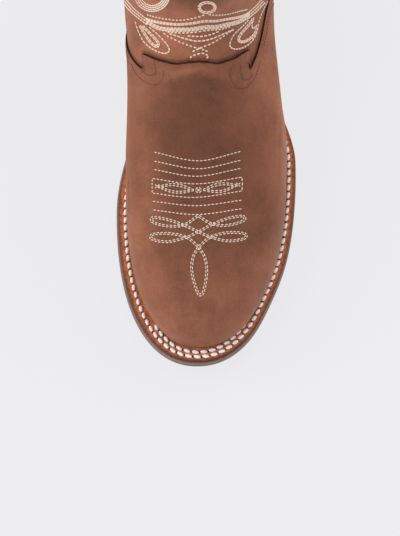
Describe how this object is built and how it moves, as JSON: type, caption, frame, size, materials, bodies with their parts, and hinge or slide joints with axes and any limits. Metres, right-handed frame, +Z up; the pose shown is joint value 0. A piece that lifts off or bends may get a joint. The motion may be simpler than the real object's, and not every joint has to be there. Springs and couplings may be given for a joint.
{
  "type": "western work boot",
  "caption": "Left western work boot with a round toe, tongued vamp, heel counter, tall dipped shaft, stitched welt and lugged sole with a block heel.",
  "frame": {"origin": "middle of the boot's bounding box at the floor", "axes": "+Z up the shaft, -Y towards the toe, +X towards the outer side of the foot"},
  "size_m": [0.1074, 0.306, 0.3235],
  "materials": {
    "upper": "matte brown oiled leather",
    "vamp": "matte brown oiled leather",
    "counter": "matte brown oiled leather",
    "side_seam_inner": "matte brown oiled leather",
    "side_seam_outer": "matte brown oiled leather",
    "welt": "tan welt leather",
    "insole": "pale insole board",
    "outsole": "grey brown rubber",
    "heel": "grey brown rubber"
  },
  "bodies": {
    "root": {"upper": "upper", "vamp": "vamp", "counter": "counter", "side_seam_inner": "side_seam_inner", "side_seam_outer": "side_seam_outer", "welt": "welt", "insole": "insole", "outsole": "outsole", "heel": "heel"}
  },
  "joints": []
}
